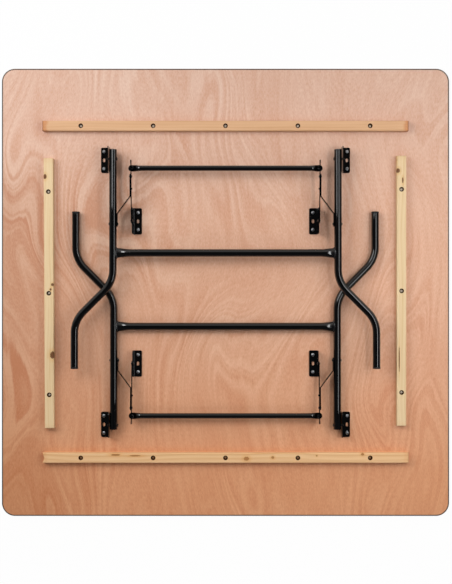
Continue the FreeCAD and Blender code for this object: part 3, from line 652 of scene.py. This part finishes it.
@dataclass(frozen=True)
class BlackCoat(Finish):
    """Gloss black coating on steel, with a fine orange-peel skin and scuffs.

    Attributes:
        colour, rub: Colours of the coating and of its scuffs.
        peel, peel_scale, peel_depth: Strength of the orange peel, its bumps to the metre and their depth in metres.
        burnt: Distances from the table's middle along X between which the coat turns dull towards a weld.
        dull: Roughness that a weld's heat adds.
    """

    colour: Colour = srgb(4, 4, 5)
    rub: Colour = srgb(40, 40, 44)
    gloss: Span = (0.03, 0.08)
    peel: float = 0.02
    amount: float = 0.3
    burnt: Span | None = None
    dull: float = 0.0
    strokes: Point = (260.0, 60.0, 260.0)
    worn: float = 0.25
    peel_scale: float = 700.0
    peel_depth: float = 0.0006
    sheen: float = 0.85

    def draw(self, sheet: Sheet, shader: Node, effects: Effects) -> None:
        """Draw the coating."""
        place = sheet.place()
        mask, mottle = effects.rub(sheet, place, self.strokes, self.amount)
        rough = sheet.remap(mottle, NOISE_SPAN, self.gloss)
        if self.burnt:
            x, _, _ = sheet.axes(place)
            heat = sheet.remap(sheet.math("ABSOLUTE", x), self.burnt, (0.0, self.dull))
            rough = sheet.math("ADD", rough, heat)
        sheet.fill(shader, {
            "Base Color": sheet.mix(mask, self.colour, self.rub),
            "Roughness": sheet.math("MULTIPLY_ADD", mask, self.worn, rough, clamp=True),
            "Normal": sheet.bump(sheet.noise(place, self.peel_scale), self.peel, self.peel_depth),
            "Specular IOR Level": self.sheen,
        })


@dataclass(frozen=True)
class ZincPlate(Finish):
    """Bright zinc plate on a screw, slightly clouded.

    Attributes:
        bright, cloud: Colours of the clean plate and of its clouded patches.
        metal: How metallic it looks; white zinc bloom lowers it.
        end_stain_and_head_shade: Colour of the painted amber shade on the screw heads of the south batten, or None
            for none.
        edge_shade: Colour of the painted shade round the crown of a sunk head, or None for none.
        head_shade_ramp, edge_shade_ramp: Share of the painted amber shade along Y, and of the painted crown shade
            over the Z of the normal.
        clouds, cloud_ramp: Clouded patches to the metre with their detail, and the share of their colour.
    """

    bright: Colour = srgb(206, 209, 213)
    cloud: Colour = srgb(168, 172, 178)
    gloss: Span = (0.34, 0.50)
    metal: float = 1.0
    end_stain_and_head_shade: Colour | None = None
    edge_shade: Colour | None = None
    head_shade_ramp: Ramp = ((-0.46, -0.52), (0.0, 0.9))
    edge_shade_ramp: Ramp = ((0.90, 0.74), RISE)
    clouds: Span = (420.0, 3.0)
    cloud_ramp: Ramp = ((0.35, 0.7), RISE)
    strokes: Point = (1500.0, 500.0, 900.0)
    amount: float = 0.6
    worn: float = 0.2
    relief: Span = (0.1, 0.0002)

    def draw(self, sheet: Sheet, shader: Node, effects: Effects) -> None:
        """Draw the plate."""
        place = sheet.place()
        clouds = sheet.noise(place, *self.clouds)
        mask, _ = effects.rub(sheet, place, self.strokes, self.amount)
        colour = sheet.mix(sheet.remap(clouds, *self.cloud_ramp), self.bright, self.cloud)
        # Painted amber shade over the screw heads of the south batten.
        if self.end_stain_and_head_shade:
            _, y, _ = sheet.axes(place)
            colour = sheet.mix(sheet.remap(y, *self.head_shade_ramp), colour, self.end_stain_and_head_shade)
        # Painted shade round the crown of a sunk head.
        if self.edge_shade:
            colour = sheet.mix(sheet.remap(sheet.facing_up(), *self.edge_shade_ramp), colour, self.edge_shade)
        rough = sheet.remap(clouds, NOISE_SPAN, self.gloss)
        sheet.fill(shader, {
            "Base Color": colour,
            "Roughness": sheet.math("MULTIPLY_ADD", mask, self.worn, rough),
            "Normal": sheet.bump(clouds, *self.relief),
            "Metallic": self.metal,
        })


@dataclass(frozen=True)
class Moulding(Finish):
    """Moulded plastic with a fine pebbled skin and rubbed patches.

    Attributes:
        colour, rub: Colours of the plastic and of its rubbed patches.
        pebble: Grains to the metre.
        mottled: Share of the rubbed colour in the mottle.
    """

    colour: Colour
    rub: Colour
    pebble: float
    gloss: Span
    strokes: Point = (90.0, 90.0, 420.0)
    amount: float = 0.7
    mottled: float = 0.35
    relief: Span = (0.15, 0.0004)
    sheen: float = 0.4

    def draw(self, sheet: Sheet, shader: Node, effects: Effects) -> None:
        """Draw the moulding."""
        place = sheet.place()
        mask, mottle = effects.rub(sheet, place, self.strokes, self.amount)
        shade = sheet.mix(sheet.remap(mottle, NOISE_SPAN, (0.0, self.mottled)), self.colour, self.rub)
        sheet.fill(shader, {
            "Base Color": sheet.mix(mask, shade, self.rub),
            "Roughness": sheet.remap(mottle, NOISE_SPAN, self.gloss),
            "Normal": sheet.bump(sheet.noise(place, self.pebble), *self.relief),
            "Specular IOR Level": self.sheen,
        })


@dataclass(frozen=True)
class Backdrop(Finish):
    """Seamless pale paper under the table, white to the eye but still holding a shadow.

    Attributes:
        paper: The paper's colour.
        glow: Share of its white that does not depend on the light.
        tooth: Grains of the paper to the metre.
    """

    paper: Colour = srgb(244, 244, 244)
    glow: float = 0.97
    tooth: float = 300.0
    gloss: Span = (0.8, 0.9)
    sheen: float = 0.1

    def draw(self, sheet: Sheet, shader: Node, effects: Effects) -> None:
        """Draw the paper."""
        rough = sheet.remap(sheet.noise(sheet.place(), self.tooth), NOISE_SPAN, self.gloss)
        sheet.fill(shader, {"Base Color": self.paper, "Roughness": rough, "Specular IOR Level": self.sheen})
        seen = sheet.node("ShaderNodeLightPath")
        rays = sheet.math("ADD", seen.outputs["Is Camera Ray"], seen.outputs["Is Glossy Ray"])
        rays = sheet.math("ADD", rays, seen.outputs["Is Transmission Ray"], clamp=True)
        white = sheet.node("ShaderNodeEmission")
        both = sheet.node("ShaderNodeMixShader")
        share = sheet.math("MULTIPLY", rays, self.glow)
        sheet.fill(both, {0: share, 1: shader.outputs[0], 2: white.outputs[0]})
        sheet.fill(sheet.tree.nodes["Material Output"], {"Surface": both.outputs[0]})


def dress(node: str, material: Material) -> None:
    """Give a solid of the frame its finish.

    Args:
        node: The solid's name.
        material: Its finish.
    """
    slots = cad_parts[node].material_slots
    if not slots:
        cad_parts[node].data.materials.append(material)
    for slot in slots:
        slot.material = material
    LOG.info("dressed %s in %s", node, material.name)


def add_object(name: str, mesh: bmesh.types.BMesh, material: Material) -> bpy.types.Object:
    """Turn a finished bmesh into an object of the scene.

    Args:
        name: The object's name.
        mesh: Its shape, in place.
        material: Its finish.

    Returns:
        The object.
    """
    data = bpy.data.meshes.new(name)
    mesh.to_mesh(data)
    mesh.free()
    data.materials.append(material)
    made = bpy.data.objects.new(name, data)
    bpy.context.scene.collection.objects.link(made)
    return made


@dataclass
class TableTop:
    """The panel with its edge band, its battens and their screws.

    Attributes:
        effects: The shared effects.
        long_pitch, short_pitch: Distances between the screws of a long and of a short batten.
        knot_lift, knot_depth: Height of the knots' middles, and their half size along Z.
        west_lean: How far the west batten is turned out of square, in radians.
    """

    effects: Effects
    long_pitch: float = 0.245
    short_pitch: float = 0.344
    knot_lift: float = 0.036
    knot_depth: float = 0.014
    west_lean: float = math.radians(0.26)

    def build(self) -> None:
        """Dress every piece of the top."""
        dress("plywood_panel", Veneer("rose_veneer").build(self.effects))
        band = Moulding("brown_vinyl", srgb(74, 56, 46), srgb(104, 82, 68), pebble=900.0, gloss=(0.38, 0.55))
        dress("edge_band", band.build(self.effects))
        for finish in self.battens():
            dress(finish.node, finish.build(self.effects))
        # The batten screws carry painted shade: amber over the south batten's heads, dark round each crown.
        screws = ZincPlate(
            "pale_zinc_plate", srgb(255, 240, 220), srgb(246, 222, 194), gloss=(0.50, 0.66), metal=0.0,
            end_stain_and_head_shade=srgb(176, 112, 52), edge_shade=srgb(62, 26, 4),
        )
        dress("batten_screws", screws.build(self.effects))

    def spots(self, eye: Colour, ringed: float, *marks: tuple[float, ...]) -> tuple[KnotSpot, ...]:
        """Knots of one batten, each mark being the X, the Y and the half sizes along X and Y of one."""
        lift, deep = self.knot_lift, self.knot_depth
        return tuple(KnotSpot((x, y, lift), (wide, long, deep), eye, ringed) for x, y, wide, long in marks)

    def battens(self) -> tuple[Pine, ...]:
        """The finishes of the battens.

        Returns:
            One for each batten.
        """
        amber, amber_line = srgb(229, 184, 143), srgb(214, 164, 121)
        straw, straw_line = srgb(240, 214, 172), srgb(224, 187, 137)
        honey, honey_line = srgb(246, 203, 154), srgb(228, 175, 121)
        brown, soft_amber = srgb(112, 66, 38), srgb(182, 124, 70)
        west = self.spots(
            brown, 0.5, (-0.611, 0.392, 0.006, 0.010), (-0.586, 0.026, 0.005, 0.006), (-0.592, 0.010, 0.004, 0.005),
            (-0.585, -0.212, 0.010, 0.014),
        )
        east = self.spots(
            brown, 0.5, (0.584, 0.412, 0.007, 0.009), (0.588, -0.226, 0.0022, 0.050), (0.600, 0.380, 0.003, 0.011),
            (0.578, 0.448, 0.003, 0.013),
        )
        south = self.spots(
            soft_amber, 0.2, (0.071, -0.563, 0.010, 0.008), (0.160, -0.559, 0.006, 0.005),
            (0.309, -0.553, 0.003, 0.003), (0.464, -0.548, 0.006, 0.005), (-0.372, -0.550, 0.018, 0.004),
            (-0.306, -0.553, 0.022, 0.003),
        )
        long, short = (Run.ALONG_X, self.long_pitch), (Run.ALONG_Y, self.short_pitch)
        lean = self.west_lean
        return (
            Pine("north_batten_pine", "north_batten", *long, amber, amber_line, (0.045, -0.030), 0.85),
            Pine("south_batten_pine", "south_batten", *long, honey, honey_line, (-0.028, -0.050), 0.25, south),
            Pine("west_batten_pine", "west_batten", *short, straw, straw_line, (0.040, -0.024), 0.15, west, lean),
            Pine("east_batten_pine", "east_batten", *short, straw, straw_line, (-0.036, -0.030), 0.15, east),
        )


Carry = Callable[[Vector, Side, Vector], Vector]


@dataclass
class LegSet:
    """One folded leg set with its brackets and braces.

    Attributes:
        compass: Which of the two sets it is.
        steel, burnt: Finishes of its tubes, arms and brackets, and of its crossbar, dulled towards the welds.
        rivet, zinc, plug, weld: Finishes of its rivets, screws, foot plugs and weld beads.
        tube_radius, leg_x: Radius of the leg tubes, and their distance from the table's middle.
        plain_radius, merge: Radius of the plain ring in radii of its section, and how near its points are merged.
        segments, steps: Sides of that section, and steps round the ring.
        ripples, ripple_least, ripple_swell: Ripples round a bead, and their least size and swell as shares of it.
        waves, wave_swell: Slow waves round a crossbar's bead, and their swell as a share of it.
        bead_radius, bead_lay: Radius of that bead, and how thick it lies on the leg as a share of the radius.
        bead_width, bead_height: Half the width and half the height of a crossbar's squeezed end.
        paddle_radius, tip_depth: Radius of a brace bar's flat end, and how far from its tip its crest is sought.
        ring_radius, ring_bead: Radius of the ring of weld on that end, and of its bead.
        ring_squash: How far the outer half of that ring is pressed in, clear of the lower arm.
    """

    compass: Compass
    steel: Material
    burnt: Material
    rivet: Material
    zinc: Material
    plug: Material
    weld: Material
    tube_radius: float = 0.0127
    leg_x: float = 0.3785
    plain_radius: float = 4.0
    segments: int = 10
    steps: int = 132
    merge: float = 1e-5
    ripples: int = 22
    ripple_least: float = 0.86
    ripple_swell: float = 0.26
    waves: int = 5
    wave_swell: float = 0.10
    bead_radius: float = 0.0034
    bead_width: float = 0.0163
    bead_height: float = 0.0064
    bead_lay: float = 0.8
    paddle_radius: float = 0.01075
    tip_depth: float = 0.0005
    ring_radius: float = 0.0052
    ring_bead: float = 0.0017
    ring_squash: float = 0.17

    def build(self) -> None:
        """Dress every solid of the set and add its welds."""
        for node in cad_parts:
            if node.startswith(f"{self.compass.value}_") and not node.endswith("batten"):
                dress(node, self.finish_of(node))
        legs, arms = f"{self.compass.value}_legs", f"{self.compass.value}_upper_arms"
        for side in Side:
            self.lay_weld("crossbar_weld", legs, side, self.on_bead, self.crossbar_middle())
            self.lay_weld("bar_weld", arms, side, self.on_ring, self.bar_end(side))

    def finish_of(self, node: str) -> Material:
        """Choose the finish of one of the set's solids.

        Args:
            node: The solid's name.

        Returns:
            Its finish.
        """
        if node.endswith("screws"):
            return self.zinc
        if node.endswith("foot_plug"):
            return self.plug
        if node.endswith("crossbar"):
            return self.burnt
        return self.rivet if "rivet" in node else self.steel

    def plain_ring(self) -> bmesh.types.BMesh:
        """Make a plain ring about Z, to be bent into a bead.

        Returns:
            The ring, whose section has radius 1.
        """
        mesh = bmesh.new()
        section = bmesh.ops.create_circle(mesh, segments=self.segments, radius=1.0)
        stand = Matrix.Translation((self.plain_radius, 0.0, 0.0)) @ Matrix.Rotation(math.pi / 2, 4, "X")
        bmesh.ops.transform(mesh, matrix=stand, verts=section["verts"])
        bmesh.ops.spin(
            mesh, geom=mesh.edges[:], axis=(0.0, 0.0, 1.0), cent=(0.0, 0.0, 0.0), angle=math.tau,
            steps=self.steps, use_merge=True,
        )
        bmesh.ops.remove_doubles(mesh, verts=mesh.verts, dist=self.merge)
        return mesh

    def lay_weld(self, kind: str, body: str, side: Side, carry: Carry, middle: Vector) -> None:
        """Bend a plain ring into a rippled weld bead that rides on a body of the set.

        Args:
            kind: The last part of the bead's name.
            body: The body.
            side: The side that the bead lies on.
            carry: How a point of the plain ring comes to the bead.
            middle: The middle of what the bead lies round.
        """
        name = f"{self.compass.value}_{side.name.lower()}_{kind}"
        mesh = self.plain_ring()
        for vertex in mesh.verts:
            vertex.co = carry(vertex.co, side, middle)
        bmesh.ops.recalc_face_normals(mesh, faces=mesh.faces)
        for face in mesh.faces:
            face.smooth = True
        piece = add_object(name, mesh, self.weld)
        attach(piece, body)
        LOG.info("added %s on %s", name, body)

    def crossbar_middle(self) -> Vector:
        """The middle of the crossbar."""
        low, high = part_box(f"{self.compass.value}_crossbar")
        return (low + high) / 2

    def bar_end(self, side: Side) -> Vector:
        """Find where the tail of an upper arm is welded to the brace bar.

        Args:
            side: The end of the bar.

        Returns:
            The middle of the bar's flat end, on its crest.
        """
        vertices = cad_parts[f"{self.compass.value}_brace_bar"].data.vertices
        reach = max(side.value * vertex.co.x for vertex in vertices)
        tip = [vertex.co for vertex in vertices if side.value * vertex.co.x > reach - self.tip_depth]
        crest = max(tip, key=lambda place: place.z)
        return Vector((side.value * (reach - self.paddle_radius), crest.y, crest.z))

    def unroll(self, point: Vector) -> Point:
        """Read a point of the plain ring.

        Args:
            point: The point.

        Returns:
            Its turn about Z, how far outside the ring's middle line it lies, and the size of the ripple there.
        """
        turn = math.atan2(point.y, point.x)
        out = math.hypot(point.x, point.y) - self.plain_radius
        phase = (turn / math.tau * self.ripples) % 1.0
        return turn, out, self.ripple_least + self.ripple_swell * phase

    def on_bead(self, point: Vector, side: Side, middle: Vector) -> Vector:
        """Carry a point of the plain ring to the seam between the crossbar and the leg.

        Args:
            point: The point.
            side: The leg that the bead lies on.
            middle: The middle of the crossbar.

        Returns:
            The point's place on the bead.
        """
        turn, out, ripple = self.unroll(point)
        swell = self.bead_radius * (ripple + self.wave_swell * math.sin(self.waves * turn + side.value))
        along = math.cos(turn) * (self.bead_width + out * swell)
        above = math.sin(turn) * (self.bead_height + out * swell)
        seat = math.sqrt(max(self.tube_radius**2 - above**2, 0.0))
        aside = self.leg_x - seat - point.z * swell * self.bead_lay
        return Vector((middle.x + side.value * aside, middle.y + along, middle.z + above))

    def on_ring(self, point: Vector, side: Side, middle: Vector) -> Vector:
        """Carry a point of the plain ring to the flat end of the brace bar.

        Args:
            point: The point.
            side: The end of the bar.
            middle: The middle of the flat end.

        Returns:
            The point's place on the ring of weld.
        """
        turn, out, ripple = self.unroll(point)
        swell = self.ring_bead * ripple
        radius = self.ring_radius + out * swell
        aside = radius * math.cos(turn)
        if side.value * aside > 0.0:
            aside *= self.ring_squash
        return middle + Vector((aside, radius * math.sin(turn), point.z * swell))


@dataclass
class Softbox:
    """A soft lamp.

    Attributes:
        name: Its name.
        place, target: Where it stands, and what it points at.
        width, height: Its size across, along X when it hangs level, and its size along Y.
        radiance: How bright its face looks, where 1 is white.
        mirrored: Whether glossy surfaces mirror it.
    """

    name: str
    place: Point
    target: Point
    width: float
    height: float
    radiance: float
    mirrored: bool = True

    def build(self) -> None:
        """Set the lamp up."""
        lamp = bpy.data.lights.new(self.name, "AREA")
        lamp.shape = "RECTANGLE"
        lamp.size = self.width
        lamp.size_y = self.height
        lamp.energy = self.radiance * math.pi * self.width * self.height
        stand = bpy.data.objects.new(self.name, lamp)
        stand.location = self.place
        back = (Vector(self.place) - Vector(self.target)).normalized()
        across = Vector((0.0, 1.0, 0.0)).cross(back).normalized()
        stand.rotation_euler = Matrix((across, back.cross(across), back)).transposed().to_euler()
        stand.visible_camera = False
        stand.visible_glossy = self.mirrored
        bpy.context.scene.collection.objects.link(stand)


@dataclass
class Studio:
    """The floor, the lamps and the camera.

    Attributes:
        effects: The shared effects.
        camera_place: Where the camera stands, straight above the table.
        lens, film: Its focal length and the height of its film, in millimetres.
        floor_reach, floor_drop: Half the width of the floor, and how far it lies below the table.
        north_wall, dim_wall, ceiling: Colours of the room to the north, elsewhere and overhead.
        north_ramp, ceiling_ramp: Shares of the north wall's and the ceiling's colour over a direction's Y and Z.
        softboxes: The lamps.
    """

    effects: Effects
    camera_place: Point = (0.0017, 0.0012, 3.019)
    lens: float = 36.18
    film: float = 24.0
    floor_reach: float = 12.0
    floor_drop: float = 0.0006
    north_wall: Colour = (0.56, 0.53, 0.50, 1.0)
    dim_wall: Colour = (0.05, 0.05, 0.05, 1.0)
    ceiling: Colour = (0.03, 0.03, 0.03, 1.0)
    north_ramp: Ramp = ((0.08, 0.48), RISE)
    ceiling_ramp: Ramp = ((0.80, 0.97), RISE)
    softboxes: tuple[Softbox, ...] = field(
        default_factory=lambda: (
            Softbox("west_softbox", (-0.84, 0.84, 1.45), (-0.1, 0.2, 0.0), 0.28, 0.8, 8.4),
            Softbox("east_softbox", (1.02, 0.16, 1.45), (0.1, 0.05, 0.0), 0.24, 1.5, 6.0),
            Softbox("north_east_panel", (1.75, 0.60, 1.25), (0.1, 0.0, 0.0), 1.0, 1.4, 2.0, False),
            Softbox("north_west_panel", (-2.35, 1.1, 1.75), (0.0, 0.0, 0.0), 1.45, 1.45, 5.5, False),
            Softbox("east_panel", (1.9, -0.4, 1.25), (0.1, 0.0, 0.0), 0.8, 1.4, 0.9, False),
            Softbox("south_panel", (0.0, -1.7, 1.6), (0.0, -0.2, 0.0), 3.0, 1.2, 0.7, False),
            Softbox("top_panel", (0.0, 0.0, 2.6), (0.0, 0.0, 0.0), 1.6, 1.6, 0.2, False),
        )
    )

    def build(self) -> None:
        """Set up everything round the table."""
        bpy.context.scene.view_settings.view_transform = "Standard"
        self.lay_floor()
        self.light_room()
        for softbox in self.softboxes:
            softbox.build()
        self.stand_camera()

    def lay_floor(self) -> None:
        """Lay the paper under the table."""
        mesh = bmesh.new()
        bmesh.ops.create_grid(mesh, x_segments=1, y_segments=1, size=self.floor_reach)
        bmesh.ops.translate(mesh, verts=mesh.verts, vec=(0.0, 0.0, -self.floor_drop))
        floor = add_object("paper_floor", mesh, Backdrop("pale_paper").build(self.effects))

    def light_room(self) -> None:
        """Give the room a bright north wall, dimmer walls elsewhere and a dark ceiling."""
        world = bpy.data.worlds.new("studio_room")
        world.use_nodes = True
        bpy.context.scene.world = world
        sheet = Sheet(world.node_tree)
        _, y, z = sheet.axes(sheet.node("ShaderNodeTexCoord").outputs["Generated"])
        walls = sheet.mix(sheet.remap(y, *self.north_ramp), self.dim_wall, self.north_wall)
        colour = sheet.mix(sheet.remap(z, *self.ceiling_ramp), walls, self.ceiling)
        sheet.feed(world.node_tree.nodes["Background"].inputs["Color"], colour)

    def stand_camera(self) -> None:
        """Stand the camera over the table."""
        data = bpy.data.cameras.new("overhead_camera")
        data.sensor_fit = "VERTICAL"
        data.sensor_height = self.film
        data.lens = self.lens
        camera = bpy.data.objects.new("overhead_camera", data)
        camera.location = self.camera_place
        bpy.context.scene.collection.objects.link(camera)
        bpy.context.scene.camera = camera


def main() -> None:
    """Dress the table and set up the studio."""
    logging.basicConfig(level=logging.INFO, format="%(message)s")
    effects = Effects()
    zinc = ZincPlate("zinc_plate")
    steel = BlackCoat("black_gloss_coat")
    burnt = BlackCoat("black_crossbar_coat", burnt=(0.305, 0.340), dull=0.07)
    rivet = BlackCoat(
        "black_rivet_coat", srgb(24, 24, 26), srgb(96, 96, 100), gloss=(0.26, 0.40), peel=0.08, amount=0.9
    )
    # The weld coat's pale scuffs are partly wear and partly painted glints on the beads.
    weld = BlackCoat(
        "black_weld_coat", srgb(20, 20, 22), srgb(110, 110, 114), gloss=(0.20, 0.34), peel=0.20, amount=0.8
    )
    plug = Moulding("black_plug_plastic", srgb(20, 20, 21), srgb(44, 44, 46), pebble=1300.0, gloss=(0.45, 0.62))
    finishes = [finish.build(effects) for finish in (steel, burnt, rivet, zinc, plug, weld)]
    TableTop(effects).build()
    for compass in Compass:
        LegSet(compass, *finishes).build()
    Studio(effects).build()


if __name__ == "__main__":
    main()
